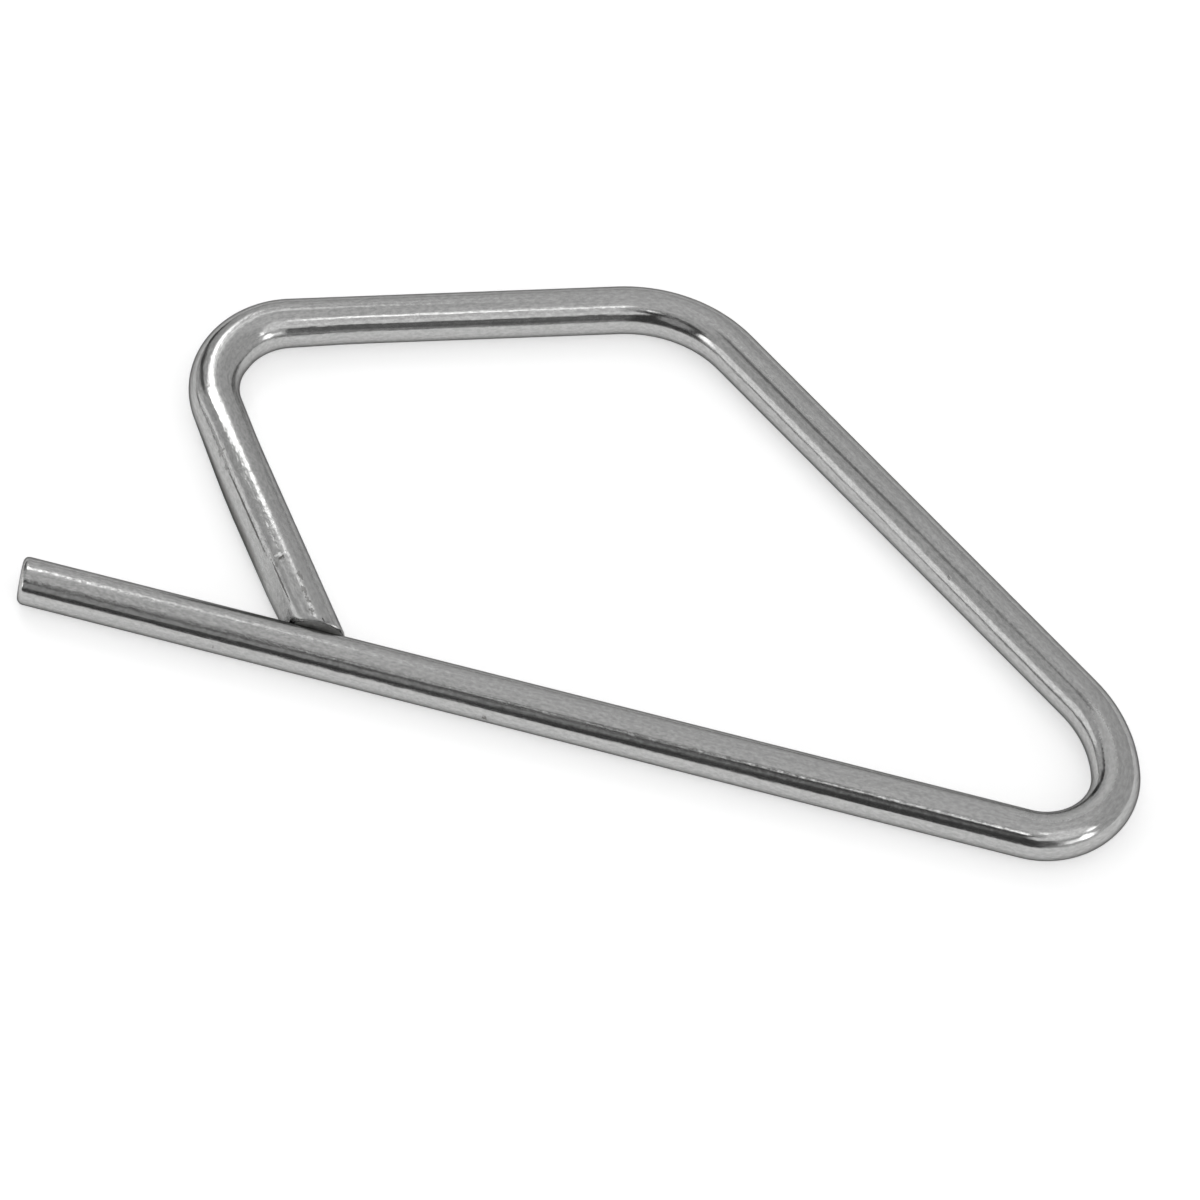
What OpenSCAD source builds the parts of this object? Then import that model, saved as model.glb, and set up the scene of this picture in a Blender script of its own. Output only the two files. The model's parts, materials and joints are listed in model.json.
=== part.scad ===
// Safety clip: one length of round spring wire, bent in a single plane into a closed kite-shaped loop.
// Lengths are in millimetres and angles in degrees. The clip lies flat, with its pin leg along X.

/* [Wire] */
// Diameter of the wire
wire_d = 3; // [2:0.1:3.6]

/* [Overall size] */
// Length from the pin tip to the outside of the nose bend
clip_len = 70; // [60:0.5:90]
// Width from the outside of the pin leg to the outside of the crown bend
clip_w = 34; // [30:0.5:42]

/* [Pin tip] */
// Rounding of the rim at the pin tip
tip_round = 0.4; // [0.1:0.05:0.8]

/* [Nose bend] */
// Angle between the pin leg and the back leg
nose_angle = 34.5; // [28:0.5:42]
// Inside radius of the nose bend, next to the pin leg
nose_r = 2.8; // [2:0.1:5]
// Inside radius of the easing bend, from the nose bend into the back leg
ease_r = 8.1; // [5:0.1:11]
// Turn of the easing bend
ease_turn = 37; // [20:1:45]

/* [Top leg] */
// Inside radius of the crown bend, between the back leg and the top leg
crown_r = 7.3; // [4:0.1:10]
// Slope of the top leg, falling from the crown bend to the heel bend
top_slope = 19.7; // [12:0.1:28]
// Straight length of the top leg between its two bends
top_len = 20.6; // [14:0.1:25]

/* [Closing leg] */
// Inside radius of the heel bend, between the top leg and the closing leg
heel_r = 3.4; // [2:0.1:5]
// Angle between the closing leg and the pin leg
closing_angle = 52.1; // [42:0.1:65]
// Clearance between the end of the closing leg and the side of the pin leg
closing_gap = 0.1; // [0.05:0.05:1]

/* [Hidden] */
$fn = 96;
wire_r = wire_d / 2;

// Radii of the bends on the wire's centreline
nose_line_r = nose_r + wire_r;
ease_line_r = ease_r + wire_r;
crown_line_r = crown_r + wire_r;
heel_line_r = heel_r + wire_r;

// The wire is followed from the pin tip, at the plan's zero, and turns left at each bend.
// A heading is the direction of travel along a leg, and the loop's outside lies 90 degrees to its right.
back_heading = 180 - nose_angle;
ease_heading = back_heading - ease_turn;
top_heading = 180 + top_slope;
closing_heading = 360 - closing_angle;

function along(heading) = [cos(heading), sin(heading)];
function outward(heading) = along(heading - 90);
// Point on a bend's centreline where the wire travels at the given heading
function bend_point(centre, line_r, heading) = centre + line_r * outward(heading);

// The nose bend is tangent to the pin leg, with its outside at the clip's full length
nose_centre = [clip_len - nose_r - wire_d, nose_line_r];

// The easing bend carries on from the nose bend
ease_start = bend_point(nose_centre, nose_line_r, ease_heading);
ease_centre = ease_start - ease_line_r * outward(ease_heading);

// The crown bend is tangent to the back leg, with its outside at the clip's full width
back_normal = outward(back_heading);
back_offset = back_normal * ease_centre + ease_line_r;
crown_y = clip_w - wire_r - crown_r - wire_d;
crown_x = (back_offset - crown_line_r - back_normal.y * crown_y) / back_normal.x;
crown_centre = [crown_x, crown_y];

// The heel bend is at the end of the top leg
top_start = bend_point(crown_centre, crown_line_r, top_heading);
top_end = top_start + top_len * along(top_heading);
heel_centre = top_end - heel_line_r * outward(top_heading);

// Straight lengths of the legs that join the bends. The closing leg's runs down to the pin leg's axis.
pin_len = nose_centre.x;
back_start = bend_point(ease_centre, ease_line_r, back_heading);
back_end = bend_point(crown_centre, crown_line_r, back_heading);
back_len = norm(back_end - back_start);
closing_start = bend_point(heel_centre, heel_line_r, closing_heading);
closing_len = closing_start.y / sin(closing_angle);

// The closing leg is cut parallel to the pin leg, this far below its start, by a block wider than the wire
closing_drop = closing_start.y - wire_r - closing_gap;
cut_block = 6 * wire_d;

// The wire is bent at a hundredth of its size and enlarged as a whole, so that each leg closes on its bend
draft = 1 / 100;

// Half section of the pin leg, with the rounded rim at its tip
module pin_section() {
    translate([0, tip_round] * draft) square([wire_r, pin_len - tip_round] * draft);
    square([wire_r - tip_round, tip_round] * draft);
    intersection() {
        translate([wire_r - tip_round, tip_round] * draft) circle(r = tip_round * draft);
        translate([wire_r - tip_round, 0] * draft) square(tip_round * draft);
    }
}

// Each leg or bend starts at the origin, heading along X, and sets its children at its end.

// Pin leg, from its free tip
module pin_leg() {
    rotate([0, 90, 0]) rotate_extrude() pin_section();
    translate([pin_len * draft, 0, 0]) children();
}

// Straight leg
module leg(length) {
    rotate([0, 90, 0]) cylinder(r = wire_r * draft, h = length * draft);
    translate([length * draft, 0, 0]) children();
}

// Bend to the left
module bend(line_r, turn) {
    translate([0, line_r * draft, 0]) {
        rotate([0, 0, -90])
            rotate_extrude(angle = turn)
            translate([line_r * draft, 0]) circle(r = wire_r * draft);
        rotate([0, 0, turn]) translate([0, -line_r * draft, 0]) children();
    }
}

// Closing leg, cut off just short of the pin leg's side
module closing_leg() {
    cut_x = closing_drop / tan(closing_angle);
    difference() {
        leg(closing_len);
        rotate([0, 0, closing_angle])
            translate([cut_x - cut_block / 2, -closing_drop - cut_block, -cut_block / 2] * draft)
            cube(cut_block * draft);
    }
}

// The whole bent wire, centred over its own outline and lying on the ground plane
module clip_wire() {
    color("silver")
        translate([-clip_len / 2, wire_r - clip_w / 2, wire_r])
        scale(1 / draft)
        pin_leg()
        bend(nose_line_r, ease_heading)
        bend(ease_line_r, ease_turn)
        leg(back_len)
        bend(crown_line_r, top_heading - back_heading)
        leg(top_len)
        bend(heel_line_r, closing_heading - top_heading)
        closing_leg();
}

clip_wire();
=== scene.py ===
"""Safety clip: one length of bright steel wire, bent in a plane into a closed kite-shaped loop.

The wire is drawn along its centreline from the pin tip, leg by leg and bend by bend, in place of the
CAD solid. It is then pressed where the bending tools widened it, cut off beside the pin leg, and dressed
as drawn bright steel. All lengths are in metres and all headings in degrees.
"""

import json
import logging
import math
from dataclasses import dataclass, field
from enum import Enum

import bpy
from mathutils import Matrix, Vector


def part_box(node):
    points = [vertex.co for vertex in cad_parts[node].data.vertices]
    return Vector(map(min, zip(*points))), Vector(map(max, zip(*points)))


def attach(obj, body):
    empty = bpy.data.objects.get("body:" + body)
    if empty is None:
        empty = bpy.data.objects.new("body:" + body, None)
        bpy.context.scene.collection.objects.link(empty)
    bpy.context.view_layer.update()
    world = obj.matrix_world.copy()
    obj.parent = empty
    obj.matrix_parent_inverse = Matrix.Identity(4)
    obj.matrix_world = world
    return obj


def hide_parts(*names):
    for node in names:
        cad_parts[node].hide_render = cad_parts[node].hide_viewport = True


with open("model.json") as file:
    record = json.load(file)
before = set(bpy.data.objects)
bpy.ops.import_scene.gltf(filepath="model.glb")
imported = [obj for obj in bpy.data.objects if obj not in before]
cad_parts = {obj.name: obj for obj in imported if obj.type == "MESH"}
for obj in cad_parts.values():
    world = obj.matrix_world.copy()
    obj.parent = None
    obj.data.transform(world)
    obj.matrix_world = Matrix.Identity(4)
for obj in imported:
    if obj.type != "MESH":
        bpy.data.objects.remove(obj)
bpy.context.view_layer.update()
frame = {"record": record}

log = logging.getLogger("safety_clip")

NODE = "clip_wire"
BODY = "root"
PATH = "wire_path"
MM = 0.001

# A point within this share of the wire's radius from the pin's axis is on the pin leg.
ON_PIN = 1.005
# Points this near to a cut are on it, and edges this near to a cutting plane are joined to it.
ON_CUT = 1e-6
CUT_THRESHOLD = 1e-7
# A face with more corners than this is a cut end.
WIRE_CORNERS = 8
# Most values of a noise lie in this range.
NOISE_LOW, NOISE_HIGH = 0.3, 0.7

Tone = tuple[float, float, float]


class Form(Enum):
    """The two forms that a stretch of the wire takes."""

    LEG = "leg"
    BEND = "bend"


class Name(Enum):
    """The stretches of the wire, in order from the pin tip."""

    PIN = "pin_leg"
    NOSE = "nose_bend"
    EASE = "easing_bend"
    BACK = "back_leg"
    CROWN = "crown_bend"
    TOP = "top_leg"
    HEEL = "heel_bend"
    CLOSING = "closing_leg"


class MixKind(Enum):
    """What a Mix node mixes: its data type, the places of its two inputs and that of its output."""

    VALUE = ("FLOAT", 2, 3, 0)
    COLOUR = ("RGBA", 6, 7, 2)


def along(heading: float) -> Vector:
    """Unit vector in plan at a heading in degrees."""
    return Vector((math.cos(math.radians(heading)), math.sin(math.radians(heading))))


def outward(heading: float) -> Vector:
    """Unit vector in plan towards the loop's outside, to the right of a heading."""
    return along(heading - 90)


def towards(turn: float, tilt: float) -> Vector:
    """Finds a direction round the clip.

    Args:
        turn: degrees to the left of +Y, in plan.
        tilt: degrees over the floor.

    Returns:
        Its unit vector.
    """
    turn, tilt = math.radians(turn), math.radians(tilt)
    across = math.cos(tilt)
    return Vector((-math.sin(turn) * across, math.cos(turn) * across, math.sin(tilt)))


def ease(low: float, high: float, value: float) -> float:
    """Smooth step from 0 at low to 1 at high."""
    t = min(max((value - low) / (high - low), 0.0), 1.0)
    return t * t * (3.0 - 2.0 * t)


def opaque(tone: Tone, share: float = 1.0) -> tuple[float, float, float, float]:
    """A tone at a share of its brightness, as a colour that a socket takes."""
    return (*[c * share for c in tone], 1.0)


@dataclass(frozen=True)
class Stretch:
    """One leg or bend of the wire's centreline, in plan. Every bend turns left."""

    name: Name
    form: Form
    start: Vector
    heading: float
    distance: float
    length: float
    line_r: float = 0.0
    turn: float = 0.0

    @property
    def centre(self) -> Vector:
        """Centre of a bend."""
        return self.start - self.line_r * outward(self.heading)

    @property
    def end(self) -> Vector:
        """Point where the stretch ends."""
        if self.form is Form.LEG:
            return self.start + self.length * along(self.heading)
        return self.centre + self.line_r * outward(self.heading + self.turn)

    def locate(self, point: Vector) -> tuple[float, float, float]:
        """Finds a point of the plan on this stretch.

        Args:
            point: a point in plan.

        Returns:
            Its distance from the stretch's centreline, its place along the whole wire, and its offset
            towards the loop's outside.
        """
        if self.form is Form.LEG:
            local = point - self.start
            place = min(max(local.dot(along(self.heading)), 0.0), self.length)
            offset = local.dot(outward(self.heading))
            miss = (local - place * along(self.heading)).length
            return miss, self.distance + place, offset
        arm = point - self.centre
        swing = math.degrees(math.atan2(arm.y, arm.x)) - (self.heading - 90)
        swing = (swing + 180) % 360 - 180
        kept = min(max(swing, 0.0), self.turn)
        nearest = self.centre + self.line_r * outward(self.heading + kept)
        place = self.distance + self.line_r * math.radians(kept)
        return (point - nearest).length, place, arm.length - self.line_r


@dataclass
class WireForm:
    """Centreline of the clip, from the frame's own sizes and the clip's bends."""

    tip: Vector
    wire_r: float
    clip_len: float
    clip_w: float
    tip_round: float = 0.4 * MM
    nose_angle: float = 34.5
    nose_r: float = 2.8 * MM
    ease_r: float = 8.1 * MM
    ease_turn: float = 37.0
    crown_r: float = 7.3 * MM
    top_slope: float = 19.7
    top_len: float = 20.6 * MM
    heel_r: float = 3.4 * MM
    closing_angle: float = 52.1
    closing_gap: float = 0.1 * MM
    stretches: list[Stretch] = field(default_factory=list)

    @classmethod
    def from_frame(cls) -> "WireForm":
        """Takes the wire's size and the pin's place from the frame and its record.

        Returns:
            The form, with its bends at their own sizes.
        """
        low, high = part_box(NODE)
        mount = next(m for m in frame["record"]["mounts"] if m["name"] == Name.PIN.value)
        return cls(
            tip=Vector(mount["pos_m"]),
            wire_r=(high.z - low.z) / 2,
            clip_len=high.x - low.x,
            clip_w=high.y - low.y,
        )

    def __post_init__(self) -> None:
        """Lays out the stretches one after the other."""
        back_heading = 180 - self.nose_angle
        ease_heading = back_heading - self.ease_turn
        top_heading = 180 + self.top_slope
        closing_heading = 360 - self.closing_angle
        nose_line = self.nose_r + self.wire_r
        ease_line = self.ease_r + self.wire_r
        crown_line = self.crown_r + self.wire_r
        heel_line = self.heel_r + self.wire_r
        self._leg(Name.PIN, self.tip.to_2d(), 0.0, self.clip_len - self.nose_r - 2 * self.wire_r)
        self._bend(Name.NOSE, nose_line, ease_heading)
        self._bend(Name.EASE, ease_line, self.ease_turn)
        self._leg_on(Name.BACK, self._back_length(crown_line, back_heading))
        self._bend(Name.CROWN, crown_line, top_heading - back_heading)
        self._leg_on(Name.TOP, self.top_len)
        self._bend(Name.HEEL, heel_line, closing_heading - top_heading)
        drop = self.stretches[-1].end.y - self.tip.y
        self._leg_on(Name.CLOSING, drop / math.sin(math.radians(self.closing_angle)))

    def _leg(self, name: Name, start: Vector, heading: float, length: float) -> None:
        """Adds a leg at a place of its own."""
        distance = sum(s.length for s in self.stretches)
        self.stretches.append(Stretch(name, Form.LEG, start, heading, distance, length))

    def _leg_on(self, name: Name, length: float) -> None:
        """Adds a leg at the end of the last stretch."""
        last = self.stretches[-1]
        self._leg(name, last.end, last.heading + last.turn, length)

    def _bend(self, name: Name, line_r: float, turn: float) -> None:
        """Adds a bend at the end of the last stretch.

        Args:
            name: the bend's name.
            line_r: its radius on the centreline.
            turn: degrees that it turns to the left.
        """
        last = self.stretches[-1]
        heading = last.heading + last.turn
        distance = last.distance + last.length
        length = line_r * math.radians(turn)
        self.stretches.append(Stretch(name, Form.BEND, last.end, heading, distance, length, line_r, turn))

    def _back_length(self, crown_line: float, heading: float) -> float:
        """Length of the back leg that brings the crown bend's outside to the clip's full width.

        Args:
            crown_line: radius of the crown bend on the centreline.
            heading: heading of the back leg.

        Returns:
            The straight length of the leg.
        """
        crown_y = self.tip.y - self.wire_r + self.clip_w - self.wire_r - crown_line
        end_y = crown_y + crown_line * outward(heading).y
        return (end_y - self.stretches[-1].end.y) / along(heading).y

    def find(self, name: Name) -> Stretch:
        """The stretch of a name."""
        return next(s for s in self.stretches if s.name is name)

    def locate(self, point: Vector) -> Vector:
        """Finds a point on the wire.

        Args:
            point: a point on the wire's surface.

        Returns:
            Its place along the wire, its offset towards the loop's outside, and its height over the
            centreline.
        """
        pin = self.find(Name.PIN)
        off_axis = math.hypot(point.y - self.tip.y, point.z - self.tip.z)
        on_pin = off_axis < ON_PIN * self.wire_r and point.x <= pin.end.x
        near = [s.locate(point.to_2d()) for s in self.stretches if (s is pin) == on_pin]
        _, place, offset = min(near, key=lambda found: found[0])
        return Vector((place, offset, point.z - self.tip.z))


class Bench:
    """A node tree under construction."""

    def __init__(self, tree: bpy.types.NodeTree) -> None:
        """Starts on an emptied tree."""
        self.tree = tree
        tree.nodes.clear()

    def add(
        self,
        kind: str,
        *,
        settings: dict[str, object] | None = None,
        **sockets: object,
    ) -> bpy.types.Node:
        """Adds a node.

        Args:
            kind: the node's type name.
            settings: properties of the node.
            sockets: values or output sockets for its inputs, by name with _ for spaces.

        Returns:
            The node.
        """
        node = self.tree.nodes.new(kind)
        for key, value in (settings or {}).items():
            setattr(node, key, value)
        for key, value in sockets.items():
            self.feed(node.inputs[key.replace("_", " ")], value)
        return node

    def feed(self, socket: bpy.types.NodeSocket, value: object) -> None:
        """Links an output to a socket, or sets the socket's own value.

        Args:
            socket: an input of a node.
            value: an output of a node, or a plain value.
        """
        if isinstance(value, bpy.types.NodeSocket):
            self.tree.links.new(value, socket)
        else:
            socket.default_value = value

    def math(self, operation: str, *values: object) -> bpy.types.NodeSocket:
        """Adds a Math node.

        Args:
            operation: what it does.
            values: values or output sockets for its inputs, in order.

        Returns:
            Its output.
        """
        node = self.tree.nodes.new("ShaderNodeMath")
        node.operation = operation
        for socket, value in zip(node.inputs, values):
            self.feed(socket, value)
        return node.outputs[0]

    def vector(self, operation: str, *values: object, output: str = "Vector") -> bpy.types.NodeSocket:
        """Adds a Vector Math node.

        Args:
            operation: what it does.
            values: vectors or output sockets for its inputs, in order.
            output: name of the output that is wanted.

        Returns:
            That output.
        """
        node = self.tree.nodes.new("ShaderNodeVectorMath")
        node.operation = operation
        for socket, value in zip(node.inputs, values):
            self.feed(socket, value)
        return node.outputs[output]

    def mix(
        self, kind: MixKind, factor: object, first: object, second: object
    ) -> bpy.types.NodeSocket:
        """Adds a Mix node.

        Args:
            kind: what it mixes.
            factor: share of the second input.
            first: the first input.
            second: the second input.

        Returns:
            Its output.
        """
        data_type, first_at, second_at, output_at = kind.value
        node = self.add("ShaderNodeMix", settings={"data_type": data_type}, Factor=factor)
        self.feed(node.inputs[first_at], first)
        self.feed(node.inputs[second_at], second)
        return node.outputs[output_at]

    def span(
        self,
        value: object,
        low: float,
        high: float,
        to_low: float = 0.0,
        to_high: float = 1.0,
    ) -> bpy.types.NodeSocket:
        """Maps a range smoothly onto another.

        Args:
            value: the value that is mapped.
            low: start of its range.
            high: end of its range.
            to_low: the result at the start.
            to_high: the result at the end.

        Returns:
            The mapped value.
        """
        node = self.add("ShaderNodeMapRange", settings={"interpolation_type": "SMOOTHSTEP"}, Value=value)
        node.inputs["From Min"].default_value = low
        node.inputs["From Max"].default_value = high
        node.inputs["To Min"].default_value = to_low
        node.inputs["To Max"].default_value = to_high
        return node.outputs["Result"]

    def noise(
        self, vector: object, detail: float = 2.0, roughness: float = 0.5
    ) -> bpy.types.NodeSocket:
        """Adds a noise of unit scale.

        Args:
            vector: where it is read.
            detail: number of finer layers.
            roughness: strength of the finer layers.

        Returns:
            Its value.
        """
        node = self.add("ShaderNodeTexNoise", Vector=vector, Scale=1.0)
        self.feed(node.inputs["Detail"], detail)
        self.feed(node.inputs["Roughness"], roughness)
        return node.outputs["Fac"]


def make_group(
    name: str, inputs: dict[str, str], outputs: dict[str, str]
) -> tuple[bpy.types.NodeTree, Bench, dict[str, bpy.types.Node]]:
    """Starts a shader node group.

    Args:
        name: the group's name.
        inputs: socket types by name.
        outputs: socket types by name.

    Returns:
        The tree, a bench on it, and its input and output nodes as "in" and "out".
    """
    tree = bpy.data.node_groups.new(name, "ShaderNodeTree")
    bench = Bench(tree)
    for key, kind in inputs.items():
        tree.interface.new_socket(key, in_out="INPUT", socket_type=kind)
    for key, kind in outputs.items():
        tree.interface.new_socket(key, in_out="OUTPUT", socket_type=kind)
    ends = {"in": bench.add("NodeGroupInput"), "out": bench.add("NodeGroupOutput")}
    return tree, bench, ends


@dataclass(frozen=True)
class Pattern:
    """A noise that is repeated so many times in a metre, along and across the wire."""

    along: float
    across: float
    detail: float
    roughness: float


class DrawnGrain:
    """Fine lines and slow waves that drawing and bending leave along the wire."""

    patterns: dict[str, Pattern] = {
        "Lines": Pattern(45.0, 5200.0, 3.0, 0.6),
        "Waves": Pattern(300.0, 500.0, 1.0, 0.4),
        "Ripple": Pattern(1400.0, 1800.0, 2.0, 0.5),
        "Clouds": Pattern(2600.0, 5500.0, 5.0, 0.7),
    }

    def __init__(self) -> None:
        """Builds the group."""
        self.tree, bench, ends = make_group(
            "drawn_grain",
            {"Path": "NodeSocketVector"},
            dict.fromkeys(self.patterns, "NodeSocketFloat"),
        )
        path = ends["in"].outputs["Path"]
        for name, pattern in self.patterns.items():
            scaled = bench.vector("MULTIPLY", path, (pattern.along, pattern.across, pattern.across))
            value = bench.noise(scaled, pattern.detail, pattern.roughness)
            bench.feed(ends["out"].inputs[name], value)

    def place(self, bench: Bench, path: bpy.types.NodeSocket) -> bpy.types.Node:
        """Puts the group in a material.

        Args:
            bench: the material's bench.
            path: place along and round the wire.

        Returns:
            The group's node.
        """
        node = bench.add("ShaderNodeGroup", settings={"node_tree": self.tree})
        bench.feed(node.inputs["Path"], path)
        return node


@dataclass(frozen=True)
class Mark:
    """A nick, speck, scored line, scuff or painted glint at a place along and round the wire, in
    millimetres.
    """

    place: tuple[float, float, float]
    reach: tuple[float, float, float]
    depth: float = 0.5
    ragged: float = 0.45


class SpotMark:
    """A ragged spot round one place of the wire, full to a share of its reach and then fading."""

    ragged_scale: float = 6000.0
    full_share: float = 0.5

    def __init__(self) -> None:
        """Builds the group."""
        self.tree, bench, ends = make_group(
            "spot_mark",
            {
                "Path": "NodeSocketVector",
                "Place": "NodeSocketVector",
                "Reach": "NodeSocketVector",
                "Ragged": "NodeSocketFloat",
                "Depth": "NodeSocketFloat",
            },
            {"Spot": "NodeSocketFloat"},
        )
        given = ends["in"].outputs
        away = bench.vector("SUBTRACT", given["Path"], given["Place"])
        away = bench.vector("DIVIDE", away, given["Reach"])
        reach = bench.vector("LENGTH", away, output="Value")
        ragged = bench.vector("MULTIPLY", given["Path"], (self.ragged_scale,) * 3)
        uneven = bench.span(bench.noise(ragged), NOISE_LOW, NOISE_HIGH, -1.0, 1.0)
        uneven = bench.math("MULTIPLY", uneven, given["Ragged"])
        inside = bench.span(bench.math("ADD", reach, uneven), 1.0, self.full_share)
        bench.feed(ends["out"].inputs["Spot"], bench.math("MULTIPLY", inside, given["Depth"]))

    def place(self, bench: Bench, path: bpy.types.NodeSocket, mark: Mark) -> bpy.types.NodeSocket:
        """Puts the group in a material at a mark.

        Args:
            bench: the material's bench.
            path: place along and round the wire.
            mark: the mark.

        Returns:
            The mark's mask.
        """
        node = bench.add("ShaderNodeGroup", settings={"node_tree": self.tree})
        bench.feed(node.inputs["Path"], path)
        bench.feed(node.inputs["Place"], Vector(mark.place) * MM)
        bench.feed(node.inputs["Reach"], Vector(mark.reach) * MM)
        bench.feed(node.inputs["Ragged"], mark.ragged)
        bench.feed(node.inputs["Depth"], mark.depth)
        return node.outputs["Spot"]


@dataclass(frozen=True)
class BrightSteel:
    """Bright drawn steel, as it shows on the wire's round surface."""

    name: str = "bright_steel"
    # Tones, with the shares of the steel's own that its clouds and lines reach
    tone: Tone = (0.44, 0.44, 0.436)
    # Painted shade: the edge tint is darkened so that grazing edges stand darker, in place of the shaded
    # floor they mirror
    shaded_edge_tint: Tone = (0.22, 0.22, 0.22)
    # Tone of the dark marks, and of the painted shade on the closing leg's flank
    dirt_and_shade_tone: Tone = (0.12, 0.115, 0.11)
    # Painted highlight: tone of the glint painted beside a nick
    glint_tone: Tone = (0.95, 0.95, 0.94)
    dark_share: float = 0.83
    pale_share: float = 1.13
    line_share: float = 0.35
    shade_from: float = 0.45
    shade_to: float = 0.9
    # Roughness, with the shares of it on the smoothest and the roughest lines
    roughness: float = 0.14
    smooth_share: float = 0.7
    rough_share: float = 1.35
    worn_roughness: float = 0.06
    mark_roughness: float = 0.25
    # Depths of the relief, and how much more the ripple counts where the wire is worn
    line_depth: float = 6.0e-6
    wave_depth: float = 1.1e-5
    ripple_depth: float = 1.0e-5
    mark_depth: float = 2.5e-5
    worn_ripple: float = 1.5
    # Wear of the closing leg, in two stages along the wire
    worn_from: float = 146 * MM
    worn_to: float = 156 * MM
    worse_from: float = 157 * MM
    worse_to: float = 163 * MM
    # Wear of the pin leg's upper side near its tip, along the wire and by height
    rubbed_from: float = 14 * MM
    rubbed_to: float = 40 * MM
    rubbed_low: float = 1.1 * MM
    rubbed_high: float = 1.4 * MM
    # Painted shade: a dark strip along the closing leg's outer lower flank, in place of the shadow under
    # the leg that it mirrors, by its offset, and where it ends along the wire
    painted_shade_from: float = 1.52 * MM
    painted_shade_to: float = 1.72 * MM
    painted_shade_end: float = 165 * MM
    painted_shade_fade: float = 5 * MM
    painted_shade_depth: float = 0.6
    # Dark nicks, specks and scored lines
    marks: tuple[Mark, ...] = (
        Mark((152.6, 1.06, 1.06), (2.6, 0.1, 0.1), 0.4, 0.3),
        Mark((158.7, 1.16, 0.95), (4.4, 0.08, 0.08), 0.9, 0.2),
        Mark((164.6, 1.02, 1.1), (1.9, 0.08, 0.08), 0.8, 0.2),
        Mark((163.15, 0.45, 1.43), (0.16, 0.3, 0.25), 0.8),
        Mark((163.4, 0.85, 1.24), (0.4, 0.1, 0.12), 0.4),
        Mark((164.9, -0.16, 1.49), (0.4, 0.14, 0.2)),
        Mark((166.0, 0.0, 1.5), (0.4, 0.16, 0.2)),
        Mark((166.8, 0.0, 1.5), (0.35, 0.14, 0.2)),
        Mark((167.6, 0.08, 1.5), (0.3, 0.14, 0.2)),
        Mark((154.1, 1.2, 0.9), (0.3, 0.16, 0.16), 0.4),
        Mark((154.0, 0.95, 1.16), (0.2, 0.1, 0.1), 0.4),
        Mark((155.2, 1.2, 0.9), (0.25, 0.12, 0.12), 0.4),
        Mark((30.4, 1.5, 0.0), (0.25, 0.2, 0.22), 0.7),
        Mark((13.0, 1.48, 0.23), (0.14, 0.12, 0.12)),
        Mark((89.8, -1.0, 1.11), (0.14, 0.12, 0.12)),
    )
    # Scuffs, whose depth is added to the roughness
    scuffs: tuple[Mark, ...] = (
        Mark((70.5, -0.33, 1.45), (8.0, 0.55, 0.45), 0.3, 0.1),
        Mark((169.5, 0.0, 1.5), (11.0, 1.2, 0.7), 0.08, 0.1),
    )
    # Painted highlight: a bright fleck beside a nick, painted in place of a glint
    painted_glints: tuple[Mark, ...] = (
        Mark((162.9, 0.5, 1.41), (0.15, 0.4, 0.35), 0.8, 0.5),
    )

    def make(self, grain: DrawnGrain, spot: SpotMark) -> bpy.types.Material:
        """Builds the material.

        Args:
            grain: the shared group of lines and waves.
            spot: the shared group of one mark.

        Returns:
            The material.
        """
        material = bpy.data.materials.new(self.name)
        material.use_nodes = True
        bench = Bench(material.node_tree)
        path = bench.add("ShaderNodeAttribute", settings={"attribute_name": PATH}).outputs["Vector"]
        drawn = grain.place(bench, path).outputs
        axes = bench.add("ShaderNodeSeparateXYZ", Vector=path).outputs
        worn = self._wear(bench, axes)
        # Painted shade: darkens the closing leg's outer flank, in place of the shadow under the leg that
        # it mirrors
        painted_shade = bench.span(axes["Y"], self.painted_shade_from, self.painted_shade_to, 0.0, self.painted_shade_depth)
        before_end = bench.span(axes["X"], self.painted_shade_end, self.painted_shade_end - self.painted_shade_fade)
        painted_shade = bench.math("MULTIPLY", painted_shade, before_end)
        marked = self._spots(bench, spot, path, self.marks)
        scuffed = self._spots(bench, spot, path, self.scuffs)
        # Painted highlight: mask of the glint beside a nick
        glint_mask = self._spots(bench, spot, path, self.painted_glints)
        steel = bench.add("ShaderNodeBsdfPrincipled", Metallic=1.0)
        # Painted shade: darkened edge tint
        bench.feed(steel.inputs["Specular Tint"], opaque(self.shaded_edge_tint))
        dark = bench.math("MAXIMUM", marked, painted_shade)
        bench.feed(steel.inputs["Base Color"], self._colour(bench, drawn, dark, glint_mask))
        rough = bench.math("ADD", self._gloss(bench, drawn, worn, marked), scuffed)
        bench.feed(steel.inputs["Roughness"], rough)
        bench.feed(steel.inputs["Normal"], self._relief(bench, drawn, worn, marked))
        bench.add("ShaderNodeOutputMaterial", Surface=steel.outputs["BSDF"])
        return material

    def _wear(self, bench: Bench, axes: object) -> bpy.types.NodeSocket:
        """Wear of the closing leg, and of the pin leg's upper side near its tip.

        Args:
            bench: the material's bench.
            axes: place along the wire, outwards and up.

        Returns:
            The wear, from 0 to 2.
        """
        worn = bench.span(axes["X"], self.worn_from, self.worn_to)
        worn = bench.math("ADD", worn, bench.span(axes["X"], self.worse_from, self.worse_to))
        near_tip = bench.span(axes["X"], self.rubbed_to, self.rubbed_from)
        upper = bench.span(axes["Z"], self.rubbed_low, self.rubbed_high)
        return bench.math("ADD", worn, bench.math("MULTIPLY", near_tip, upper))

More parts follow.
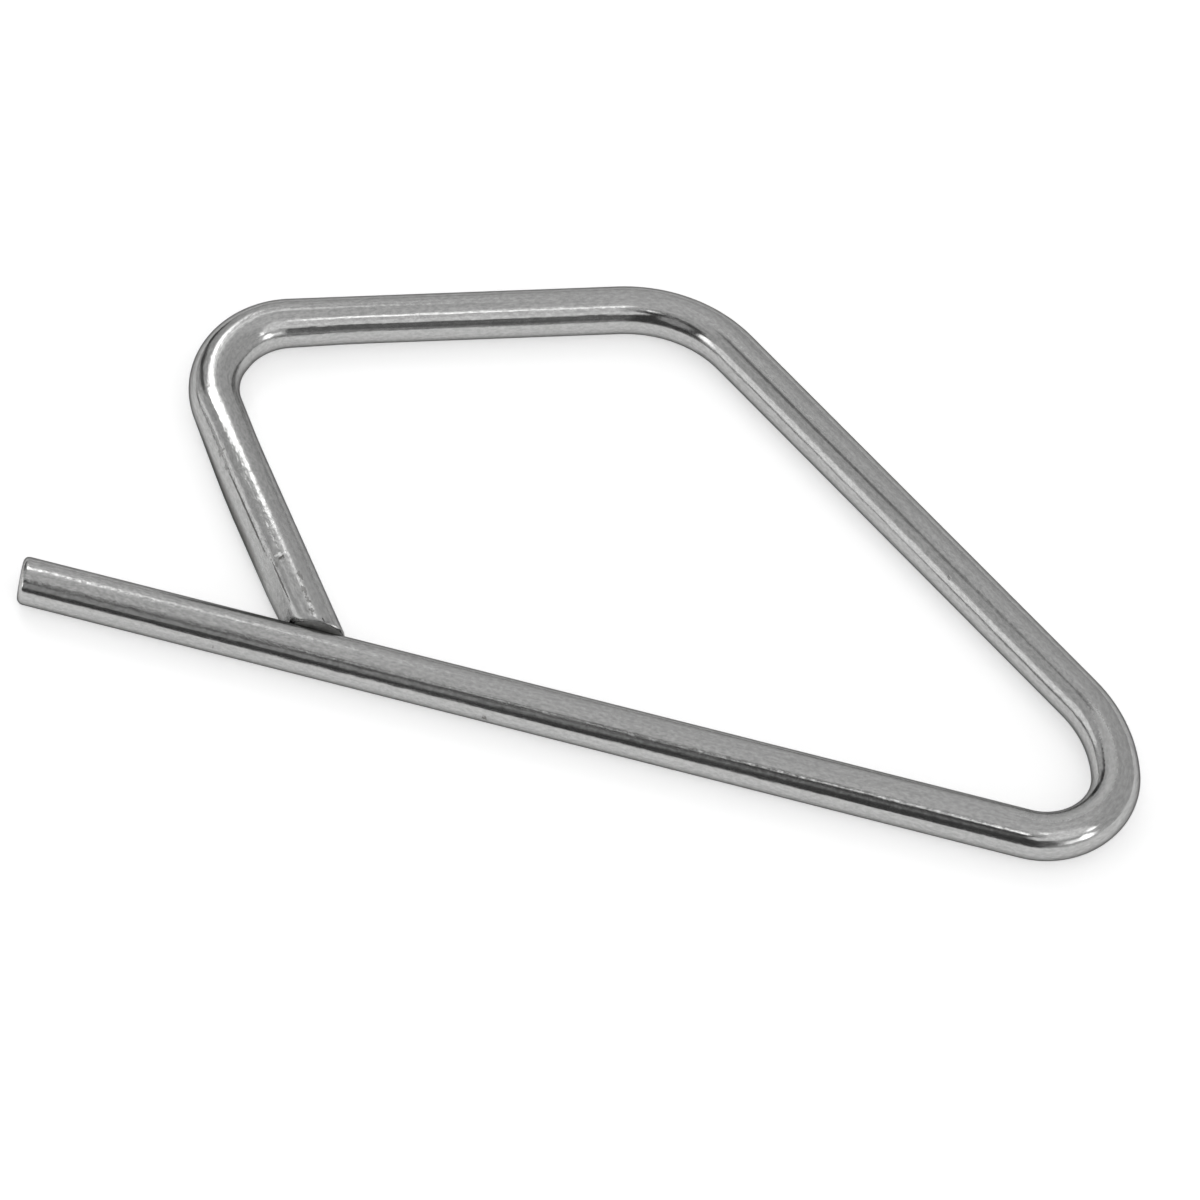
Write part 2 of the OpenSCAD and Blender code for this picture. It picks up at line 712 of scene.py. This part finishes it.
    def _spots(
        self, bench: Bench, spot: SpotMark, path: bpy.types.NodeSocket, marks: tuple[Mark, ...]
    ) -> object:
        """Joins a set of marks.

        Args:
            bench: the material's bench.
            spot: the shared group of one mark.
            path: place along and round the wire.
            marks: the marks.

        Returns:
            The largest of their masks at each place.
        """
        most: object = 0.0
        for mark in marks:
            most = bench.math("MAXIMUM", most, spot.place(bench, path, mark))
        return most

    def _colour(
        self, bench: Bench, drawn: object, dark: object, glint_mask: object
    ) -> bpy.types.NodeSocket:
        """Tone of the steel, uneven along the lines, darker in the marks and in painted shade along the
        closing leg's flank, and lighter in a painted glint beside a nick.

        Args:
            bench: the material's bench.
            drawn: outputs of the grain.
            dark: mask of the marks and of the painted shade on the closing leg's flank.
            glint_mask: mask of the painted glint beside a nick.

        Returns:
            The colour.
        """
        lines = bench.math("MULTIPLY", drawn["Lines"], self.line_share)
        uneven = bench.math("ADD", drawn["Clouds"], lines)
        uneven = bench.span(uneven, self.shade_from, self.shade_to)
        low = opaque(self.tone, self.dark_share)
        high = opaque(self.tone, self.pale_share)
        shade = bench.mix(MixKind.COLOUR, uneven, low, high)
        # Darkens the marks, and paints shade on the closing leg's flank
        dirt_and_shade = bench.mix(MixKind.COLOUR, dark, shade, opaque(self.dirt_and_shade_tone))
        # Painted highlight: lightens the steel where the glint is painted
        return bench.mix(MixKind.COLOUR, glint_mask, dirt_and_shade, opaque(self.glint_tone))

    def _gloss(
        self, bench: Bench, drawn: object, worn: object, marked: object
    ) -> bpy.types.NodeSocket:
        """Roughness of the steel, streaky, and higher where it is worn or marked.

        Args:
            bench: the material's bench.
            drawn: outputs of the grain.
            worn: the wear.
            marked: mask of the marks.

        Returns:
            The roughness.
        """
        low = self.roughness * self.smooth_share
        high = self.roughness * self.rough_share
        rough = bench.span(drawn["Lines"], NOISE_LOW, NOISE_HIGH, low, high)
        rough = bench.math("ADD", rough, bench.math("MULTIPLY", worn, self.worn_roughness))
        return bench.math("ADD", rough, bench.math("MULTIPLY", marked, self.mark_roughness))

    def _relief(
        self, bench: Bench, drawn: object, worn: object, marked: object
    ) -> bpy.types.NodeSocket:
        """Relief of the steel, from its waves, ripple, lines and marks.

        Args:
            bench: the material's bench.
            drawn: outputs of the grain.
            worn: the wear.
            marked: mask of the marks.

        Returns:
            The normal.
        """
        wear = bench.math("ADD", bench.math("MULTIPLY", worn, self.worn_ripple), 1.0)
        ripple = bench.math("MULTIPLY", drawn["Ripple"], wear)
        normal: object = None
        layers = (
            (drawn["Waves"], self.wave_depth),
            (ripple, self.ripple_depth),
            (drawn["Lines"], self.line_depth),
            (marked, -self.mark_depth),
        )
        for height, depth in layers:
            bump = bench.add("ShaderNodeBump", Strength=1.0, Distance=abs(depth), Height=height)
            bump.invert = depth < 0
            if normal is not None:
                bench.feed(bump.inputs["Normal"], normal)
            normal = bump.outputs["Normal"]
        return normal


@dataclass(frozen=True)
class ShearedSteel:
    """Matt steel of the two cut ends."""

    name: str = "sheared_steel"
    tone: Tone = (0.62, 0.62, 0.61)
    dark_share: float = 0.8
    roughness: float = 0.75
    smooth_share: float = 0.75
    rough_share: float = 1.2
    tear_depth: float = 6.0e-6
    tear_turn: float = 35.0

    def make(self, grain: DrawnGrain) -> bpy.types.Material:
        """Builds the material.

        Args:
            grain: the shared group of lines and waves.

        Returns:
            The material.
        """
        material = bpy.data.materials.new(self.name)
        material.use_nodes = True
        bench = Bench(material.node_tree)
        place = bench.add("ShaderNodeTexCoord").outputs["Object"]
        turn = (0.0, 0.0, math.radians(self.tear_turn))
        turned = bench.add("ShaderNodeMapping", Vector=place, Rotation=turn)
        torn = grain.place(bench, turned.outputs["Vector"]).outputs
        uneven = bench.span(torn["Lines"], NOISE_LOW, NOISE_HIGH)
        dark = opaque(self.tone, self.dark_share)
        shade = bench.mix(MixKind.COLOUR, uneven, dark, opaque(self.tone))
        low = self.roughness * self.smooth_share
        high = self.roughness * self.rough_share
        rough = bench.span(torn["Clouds"], NOISE_LOW, NOISE_HIGH, low, high)
        bump = bench.add("ShaderNodeBump", Strength=1.0, Distance=self.tear_depth)
        bench.feed(bump.inputs["Height"], torn["Lines"])
        steel = bench.add("ShaderNodeBsdfPrincipled", Metallic=1.0, Roughness=rough)
        bench.feed(steel.inputs["Base Color"], shade)
        bench.feed(steel.inputs["Normal"], bump.outputs["Normal"])
        bench.add("ShaderNodeOutputMaterial", Surface=steel.outputs["BSDF"])
        return material


@dataclass
class ClipWire:
    """The bent wire, drawn along its centreline."""

    form: WireForm
    facets: int = 144
    leg_step: float = 1.6 * MM
    bend_step: float = 2.5
    smooth_angle: float = 35.0
    # Swelling inside the heel bend, with its reach as a share of the bend
    heel_bulge: float = 0.28 * MM
    bulge_reach: float = 0.9
    bulge_power: float = 1.5
    # Spread of the closing leg's flank: shares of the heel bend and of the leg over which it grows,
    # its loss near the end and where that starts and ends in wire radii, and its edges round the wire
    closing_spread: float = 0.6 * MM
    spread_lean: float = 32.0
    spread_before: float = 0.4
    spread_after: float = 0.4
    spread_loss: float = 0.5
    loss_run: tuple[float, float] = (4.0, 1.0)
    spread_top: tuple[float, float] = (38.0, 24.0)
    spread_foot: tuple[float, float] = (-75.0, -25.0)
    # Flat along the closing leg's top: half angles at its start, middle and end, the turns of its
    # facing, and the shares of the leg over which they change
    flat_soft: float = 0.011
    flat_margin: float = 0.2
    flat_before: float = 0.6
    flat_start: float = 10.0
    flat_middle: float = 11.5
    flat_end: float = 15.0
    middle_run: float = 0.3
    flat_lean: float = 83.0
    flat_roll: float = 8.0
    roll_run: tuple[float, float] = (0.05, 0.25)
    flat_back: float = -2.0
    back_run: tuple[float, float] = (0.4, 1.0)
    # Cut of the closing leg. A support is a ring of edges this many roundings behind a cut.
    cut_lean: float = 8.0
    cut_yaw: float = 3.5
    rim: float = 0.2 * MM
    rim_steps: int = 3
    rim_support: float = 1.6
    # Cut of the pin tip, as its slopes across and up, and its reach in wire radii
    tip_lean: tuple[float, float] = (-0.16, 0.12)
    tip_steps: int = 8
    tip_support: float = 1.4
    tip_reach: float = 4.0
    # The piece, and the index of the closing leg's first vertex
    piece: bpy.types.Object = field(init=False)
    closing_first: int = field(init=False, default=0)

    def build(self) -> bpy.types.Object:
        """Draws the wire, presses it and cuts its ends.

        Returns:
            The wire's object.
        """
        bpy.ops.object.select_all(action="DESELECT")
        bpy.ops.mesh.primitive_circle_add(
            vertices=self.facets,
            radius=self.form.wire_r,
            fill_type="NOTHING",
            location=self.form.tip,
            rotation=(0.0, math.pi / 2, 0.0),
        )
        self.piece = bpy.context.object
        self.piece.name = "bent_wire"
        bpy.ops.object.transform_apply(location=True, rotation=True, scale=True)
        bpy.ops.object.mode_set(mode="EDIT")
        bpy.ops.mesh.select_all(action="SELECT")
        for stretch in self.form.stretches:
            if stretch.name is Name.CLOSING:
                self.piece.update_from_editmode()
                self.closing_first = len(self.piece.data.vertices)
            if stretch.form is Form.LEG:
                self._draw_leg(stretch)
            else:
                self._draw_bend(stretch)
        bpy.ops.object.mode_set(mode="OBJECT")
        self._press()
        self._cut_closing_end()
        self._cut_tip()
        self._turn_outwards()
        bpy.ops.object.shade_smooth_by_angle(angle=math.radians(self.smooth_angle))
        self._store_path()
        return self.piece

    def _turn_outwards(self) -> None:
        """Makes all faces point outwards."""
        bpy.ops.object.mode_set(mode="EDIT")
        bpy.ops.mesh.select_all(action="SELECT")
        bpy.ops.mesh.normals_make_consistent(inside=False)
        bpy.ops.object.mode_set(mode="OBJECT")

    def _draw_leg(self, stretch: Stretch) -> None:
        """Extrudes the open ring along a leg.

        Args:
            stretch: the leg.
        """
        steps = max(round(stretch.length / self.leg_step), 1)
        step = (stretch.length / steps * along(stretch.heading)).to_3d()
        for _ in range(steps):
            bpy.ops.mesh.extrude_region_move(TRANSFORM_OT_translate={"value": step})

    def _draw_bend(self, stretch: Stretch) -> None:
        """Spins the open ring round a bend's centre.

        Args:
            stretch: the bend.
        """
        bpy.ops.mesh.spin(
            steps=max(round(stretch.turn / self.bend_step), 1),
            angle=math.radians(stretch.turn),
            center=(*stretch.centre, self.form.tip.z),
            axis=(0.0, 0.0, -1.0),
        )

    def _swell(self, name: str, weights: list[float], push: dict[str, float]) -> None:
        """Moves part of the surface.

        Args:
            name: name of the vertex group that holds the weights.
            weights: one weight for each vertex.
            push: how far a full weight moves the surface, by direction.
        """
        group = self.piece.vertex_groups.new(name=name)
        for index, weight in enumerate(weights):
            if weight > 0.0:
                group.add([index], weight, "REPLACE")
        for direction, depth in push.items():
            swell = self.piece.modifiers.new(name, "DISPLACE")
            swell.vertex_group = name
            swell.direction = direction
            swell.mid_level = 0.0
            swell.strength = depth
            bpy.ops.object.modifier_apply(modifier=swell.name)
        self.piece.vertex_groups.remove(self.piece.vertex_groups[name])

    def _press(self) -> None:
        """Widens the heel bend and the closing leg as their bending pressed them."""
        self._turn_outwards()
        spots = [self._spot(vertex) for vertex in self.piece.data.vertices]
        bulge = [self._bulge_share(spot) for spot in spots]
        spread = [self._spread_share(spot) for spot in spots]
        flat = [self._flat_depth(spot) for spot in spots]
        lean = math.radians(self.spread_lean)
        side = math.sin(lean) * outward(self.form.find(Name.CLOSING).heading)
        push = self.closing_spread * Vector((*side, -math.cos(lean)))
        self._swell("heel_bulge", bulge, {"NORMAL": self.heel_bulge})
        self._swell("closing_flat", flat, {"NORMAL": -self.form.wire_r})
        self._swell("closing_spread", spread, {"X": push.x, "Y": push.y, "Z": push.z})

    def _spot(self, vertex: bpy.types.MeshVertex) -> Vector:
        """Finds a vertex of the uncut wire.

        Args:
            vertex: a vertex of the piece.

        Returns:
            Its place along the wire, its offset outwards and its height over the centreline.
        """
        if vertex.index < self.closing_first:
            return self.form.locate(vertex.co)
        _, place, offset = self.form.find(Name.CLOSING).locate(vertex.co.to_2d())
        return Vector((place, offset, vertex.co.z - self.form.tip.z))

    def _bulge_share(self, spot: Vector) -> float:
        """Share of the heel bend's swelling at a place along and round the wire.

        Args:
            spot: a place along and round the wire.

        Returns:
            The share, from 0 to 1.
        """
        heel = self.form.find(Name.HEEL)
        away = abs(spot.x - heel.distance - heel.length / 2) / (self.bulge_reach * heel.length)
        inner = max(-spot.y / self.form.wire_r, 0.0)
        return (1 - min(away, 1.0)) * inner ** self.bulge_power

    def _spread_share(self, spot: Vector) -> float:
        """Share of the closing leg's spread at a place along and round the wire.

        Args:
            spot: a place along and round the wire.

        Returns:
            The share, from 0 to 1.
        """
        heel = self.form.find(Name.HEEL)
        closing = self.form.find(Name.CLOSING)
        start = closing.distance - self.spread_before * heel.length
        full = closing.distance + self.spread_after * closing.length
        end = closing.distance + closing.length
        loss_from, loss_to = (end - radii * self.form.wire_r for radii in self.loss_run)
        pressed = ease(start, full, spot.x)
        pressed *= 1 - self.spread_loss * ease(loss_from, loss_to, spot.x)
        swing = math.degrees(math.atan2(spot.z, spot.y))
        return pressed * ease(*self.spread_top, swing) * ease(*self.spread_foot, swing)

    def _flat_depth(self, spot: Vector) -> float:
        """Depth of the flat that the bending tool pressed into the closing leg.

        Args:
            spot: a place along and round the wire.

        Returns:
            How far the surface is pushed in there, as a share of the wire's radius.
        """
        heel = self.form.find(Name.HEEL)
        closing = self.form.find(Name.CLOSING)
        run = max((spot.x - closing.distance) / closing.length, 0.0)
        begin = ease(closing.distance - self.flat_before * heel.length, closing.distance, spot.x)
        half = begin * self.flat_start
        half += (self.flat_middle - self.flat_start) * ease(0.0, self.middle_run, run)
        half += (self.flat_end - self.flat_middle) * ease(self.middle_run, 1.0, run)
        half = math.radians(half)
        lean = self.flat_lean - self.flat_roll * ease(*self.roll_run, run)
        lean += self.flat_back * ease(*self.back_run, run)
        swing = math.atan2(spot.z, spot.y) - math.radians(lean)
        if abs(swing) >= 2 * half + self.flat_margin:
            return 0.0
        sunk = 1 - math.cos(half) / math.cos(swing)
        return begin * (sunk + math.hypot(sunk, 2 * self.flat_soft)) / 2

    def _choose(self, edges: bool, wanted: list[bool]) -> None:
        """Selects edges or faces and nothing else.

        Args:
            edges: whether edges are selected, and not faces.
            wanted: a flag for each of them.
        """
        mesh = self.piece.data
        bpy.ops.object.mode_set(mode="EDIT")
        bpy.ops.mesh.select_mode(type="EDGE" if edges else "FACE")
        bpy.ops.mesh.select_all(action="DESELECT")
        bpy.ops.object.mode_set(mode="OBJECT")
        for part, flag in zip(mesh.edges if edges else mesh.polygons, wanted):
            part.select = flag
        bpy.ops.object.mode_set(mode="EDIT")

    def _split(self, faces: list[bool], place: Vector, normal: Vector, cut: bool = False) -> None:
        """Draws a ring of edges across the wire where a plane meets it.

        Args:
            faces: a flag for each face, set where the plane may meet it.
            place: a point of the plane.
            normal: the plane's normal, towards the part that is kept.
            cut: whether the other side of the plane is cut away and the cut closed.
        """
        self._choose(False, faces)
        bpy.ops.mesh.bisect(
            plane_co=place, plane_no=normal, use_fill=cut, clear_inner=cut, threshold=CUT_THRESHOLD
        )
        bpy.ops.object.mode_set(mode="OBJECT")

    def _break_rim(self, on_cut: list[bool], offset: float, segments: int) -> None:
        """Rounds the rim of a cut.

        Args:
            on_cut: a flag for each vertex, set on the cut.
            offset: how far the rounding reaches from the rim.
            segments: steps across the rounding.
        """
        self._choose(True, [all(on_cut[i] for i in e.vertices) for e in self.piece.data.edges])
        bpy.ops.mesh.bevel(
            offset=offset, offset_type="OFFSET", segments=segments, profile=0.5, affect="EDGES"
        )
        bpy.ops.object.mode_set(mode="OBJECT")

    def _cut_closing_end(self) -> None:
        """Cuts the closing leg off parallel to the pin leg and breaks the rim of the cut."""
        cut_y = self.form.tip.y + self.form.wire_r + self.form.closing_gap
        lean, yaw = math.radians(self.cut_lean), math.radians(self.cut_yaw)
        closing = self.form.find(Name.CLOSING)
        run = (closing.start.y - cut_y) / -along(closing.heading).y
        foot = Vector((*(closing.start + run * along(closing.heading)), self.form.tip.z))
        normal = Vector((-math.tan(yaw), 1.0, math.tan(lean))).normalized()
        first = self.closing_first
        mesh = self.piece.data
        for depth in (self.rim_support * self.rim, 0.0):
            faces = [min(f.vertices) >= first for f in mesh.polygons]
            self._split(faces, foot + depth * normal, normal, cut=depth == 0.0)
        near = [abs((v.co - foot).dot(normal)) < ON_CUT for v in mesh.vertices]
        on_cut = [flag and index >= first for index, flag in enumerate(near)]
        self._break_rim(on_cut, self.rim, self.rim_steps)

    def _cut_tip(self) -> None:
        """Cuts the pin tip off at a slight lean and rounds its rim."""
        tip, r = self.form.tip, self.form.wire_r
        normal = Vector((1.0, -self.tip_lean[0], -self.tip_lean[1])).normalized()
        mesh = self.piece.data
        at_tip = [v.co.x < tip.x + ON_CUT for v in mesh.vertices]
        self._choose(True, [all(at_tip[i] for i in e.vertices) for e in mesh.edges])
        bpy.ops.transform.translate(value=(-r / 2, 0.0, 0.0))
        bpy.ops.object.mode_set(mode="OBJECT")
        for depth in (self.tip_support * self.form.tip_round, 0.0):
            faces = [(f.center - tip).length < self.tip_reach * r for f in mesh.polygons]
            self._split(faces, tip + depth * normal, normal, cut=depth == 0.0)
        near = [abs((v.co - tip).dot(normal)) < ON_CUT for v in mesh.vertices]
        on_cut = [flag and v.co.x < tip.x + r for flag, v in zip(near, mesh.vertices)]
        self._break_rim(on_cut, self.form.tip_round, self.tip_steps)

    def _store_path(self) -> None:
        """Keeps each point's place along and round the wire for the finishes."""
        mesh = self.piece.data
        path = mesh.attributes.new(PATH, "FLOAT_VECTOR", "POINT")
        values: list[float] = []
        for vertex in mesh.vertices:
            values.extend(self.form.locate(vertex.co))
        path.data.foreach_set("vector", values)

    def dress(self, bright: bpy.types.Material, sheared: bpy.types.Material) -> None:
        """Gives the wire its two finishes.

        Args:
            bright: finish of the wire's surface.
            sheared: finish of the two cut ends.
        """
        mesh = self.piece.data
        mesh.materials.append(bright)
        mesh.materials.append(sheared)
        for face in mesh.polygons:
            face.material_index = 1 if len(face.vertices) > WIRE_CORNERS else 0

    def join_frame(self) -> None:
        """Puts the piece in the place of its CAD solid."""
        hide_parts(NODE)
        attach(self.piece, BODY)


@dataclass(frozen=True)
class Card:
    """A soft patch of the surround, in degrees as seen from the clip.

    Azimuth 0 lies behind the clip for the camera, and grows to the right.
    """

    azimuth: float
    elevation: float
    half_width: float
    half_height: float
    level: float
    soft: float = 0.25


@dataclass(frozen=True)
class Lamp:
    """A small soft lamp near the clip, placed as a card is, with its level as its face's brightness."""

    name: str
    azimuth: float
    elevation: float
    far: float
    width: float
    height: float
    level: float


@dataclass
class Studio:
    """Pale floor, soft surround, lamps and camera."""

    look_at: Vector = field(default_factory=lambda: Vector((-0.45, -6.54, 1.5)) * MM)
    azimuth: float = 17.03
    elevation: float = 55.0
    camera_far: float = 614.05 * MM
    lens: float = 300.0
    sensor: float = 36.0
    camera_range: tuple[float, float] = (0.01, 20.0)
    floor_r: float = 3.0
    floor_facets: int = 64
    floor_tone: float = 0.9
    floor_lift: float = 0.4
    ceiling: float = 0.62
    cards: tuple[Card, ...] = (
        Card(0, 90, 360, 26, 0.78, 0.4),
        Card(2, 42, 16, 36, 0.74, 0.8),
        Card(-150, 25, 40, 35, 0.07, 0.12),
        Card(-139, 32, 14, 13, 0.47, 0.5),
        Card(-141.5, 53, 2.5, 5, 0.6, 0.6),
        Card(-144.5, 59.5, 3.6, 4.4, 0.06, 0.5),
        Card(-154.3, 56.5, 4.8, 3.5, 4.5, 0.3),
        Card(179, 70, 7, 4, 3.6, 0.5),
        Card(148, 56, 28, 22, 1.15, 0.4),
        Card(153, 16, 9, 7, 1.7, 0.5),
        Card(137, 17, 8, 10, 3.8, 0.35),
        Card(126, 38, 5, 5, 3.4, 0.5),
        Card(-93, 14, 26, 14, 1.3, 0.3),
        Card(-114, 20, 7, 8, 2.6, 0.4),
        Card(176, 18, 10, 13, 0.2, 0.6),
        Card(181, 42, 18, 8, 1.2, 0.6),
        Card(-12, 38, 4, 6, 1.3, 0.6),
        Card(-15, 48, 6, 6, 4.0, 0.6),
        Card(-53, 61, 12, 5, 0.22, 0.6),
        Card(-51, 33, 8, 11, 0.08, 0.6),
        Card(-41, 20, 8, 10, 0.05, 0.6),
        Card(-29, 8, 8, 9, 0.05, 0.6),
        Card(-78, 3, 12, 3, 0.15, 0.5),
    )
    lamp_at: Vector = field(default_factory=lambda: Vector((-26.8, 0.1, 2.5)) * MM)
    lamps: tuple[Lamp, ...] = (
        Lamp("heel_lamp", -28.0, 56.5, 150 * MM, 38 * MM, 21 * MM, 3.5),
        Lamp("fill_lamp", -4.0, 55.0, 150 * MM, 26 * MM, 24 * MM, 0.62),
    )

    def build(self) -> None:
        """Builds the floor, the surround, the lamps and the camera."""
        bpy.context.scene.view_settings.view_transform = "Standard"
        self._lay_floor()
        self._hang_surround()
        for lamp in self.lamps:
            self._hang_lamp(lamp)
        self._set_camera()

    def _lay_floor(self) -> None:
        """Lays a plain white floor that keeps the clip's shadow."""
        bpy.ops.object.select_all(action="DESELECT")
        bpy.ops.mesh.primitive_circle_add(
            vertices=self.floor_facets, radius=self.floor_r, fill_type="NGON"
        )
        floor = bpy.context.object
        floor.name = "floor"
        material = bpy.data.materials.new("pale_floor")
        material.use_nodes = True
        bench = Bench(material.node_tree)
        rays = bench.add("ShaderNodeLightPath").outputs
        seen = bench.math("MAXIMUM", rays["Is Camera Ray"], rays["Is Glossy Ray"])
        seen = bench.math("MAXIMUM", seen, rays["Is Transmission Ray"])
        paint = bench.add("ShaderNodeBsdfDiffuse", Color=opaque((self.floor_tone,) * 3))
        lift = bench.add("ShaderNodeEmission", Color=(1.0, 1.0, 1.0, 1.0))
        bench.feed(lift.inputs["Strength"], bench.math("MULTIPLY", seen, self.floor_lift))
        both = bench.add("ShaderNodeAddShader")
        bench.feed(both.inputs[0], paint.outputs["BSDF"])
        bench.feed(both.inputs[1], lift.outputs["Emission"])
        bench.add("ShaderNodeOutputMaterial", Surface=both.outputs["Shader"])
        floor.data.materials.append(material)

    def _hang_surround(self) -> None:
        """Lights the clip from a soft surround of pale and dark cards."""
        world = bpy.data.worlds.new("surround")
        bpy.context.scene.world = world
        world.use_nodes = True
        bench = Bench(world.node_tree)
        ray = bench.add("ShaderNodeTexCoord").outputs["Generated"]
        turned = bench.add(
            "ShaderNodeVectorRotate",
            settings={"rotation_type": "Z_AXIS"},
            Vector=ray,
            Angle=-math.radians(self.azimuth),
        )
        axes = bench.add("ShaderNodeSeparateXYZ", Vector=turned.outputs["Vector"]).outputs
        azimuth = bench.math("ARCTAN2", axes["X"], axes["Y"])
        elevation = bench.math("ARCSINE", axes["Z"])
        level: object = self.ceiling
        for card in self.cards:
            side = bench.math("SUBTRACT", azimuth, math.radians(card.azimuth))
            side = bench.math("WRAP", side, math.pi, -math.pi)
            side = bench.math("DIVIDE", side, math.radians(card.half_width))
            rise = bench.math("SUBTRACT", elevation, math.radians(card.elevation))
            rise = bench.math("DIVIDE", rise, math.radians(card.half_height))
            reach = bench.add("ShaderNodeCombineXYZ", X=side, Y=rise).outputs["Vector"]
            reach = bench.vector("LENGTH", reach, output="Value")
            inside = bench.span(reach, 1 + card.soft / 2, 1 - card.soft / 2)
            level = bench.mix(MixKind.VALUE, inside, level, card.level)
        glow = bench.add("ShaderNodeBackground", Color=(1.0, 1.0, 1.0, 1.0), Strength=level)
        bench.add("ShaderNodeOutputWorld", Surface=glow.outputs["Background"])

    def _hang_lamp(self, lamp: Lamp) -> None:
        """Hangs a small soft lamp behind the heel bend.

        Args:
            lamp: the lamp.
        """
        ray = towards(self.azimuth - lamp.azimuth, lamp.elevation)
        data = bpy.data.lights.new(lamp.name, "AREA")
        data.shape = "RECTANGLE"
        data.size = lamp.width
        data.size_y = lamp.height
        data.energy = lamp.level * math.pi * lamp.width * lamp.height
        light = bpy.data.objects.new(lamp.name, data)
        bpy.context.scene.collection.objects.link(light)
        light.location = self.lamp_at + lamp.far * ray
        light.rotation_mode = "QUATERNION"
        light.rotation_quaternion = (-ray).to_track_quat("-Z", "Y")
        light.visible_camera = False

    def _set_camera(self) -> None:
        """Sets the camera at the photograph's viewing angle."""
        back = towards(self.azimuth + 180, self.elevation)
        data = bpy.data.cameras.new("camera")
        data.lens = self.lens
        data.sensor_width = self.sensor
        data.clip_start, data.clip_end = self.camera_range
        camera = bpy.data.objects.new("camera", data)
        bpy.context.scene.collection.objects.link(camera)
        camera.location = self.look_at + self.camera_far * back
        camera.rotation_mode = "QUATERNION"
        camera.rotation_quaternion = (-back).to_track_quat("-Z", "Y")
        bpy.context.scene.camera = camera


def main() -> None:
    """Builds the studio and the clip."""
    logging.basicConfig(level=logging.INFO, format="%(name)s: %(message)s")
    Studio().build()
    log.info("studio: floor, surround, lamps and camera")
    wire = ClipWire(WireForm.from_frame())
    piece = wire.build()
    grain = DrawnGrain()
    wire.dress(BrightSteel().make(grain, SpotMark()), ShearedSteel().make(grain))
    wire.join_frame()
    log.info("%s: %d faces", piece.name, len(piece.data.polygons))


if __name__ == "__main__":
    main()
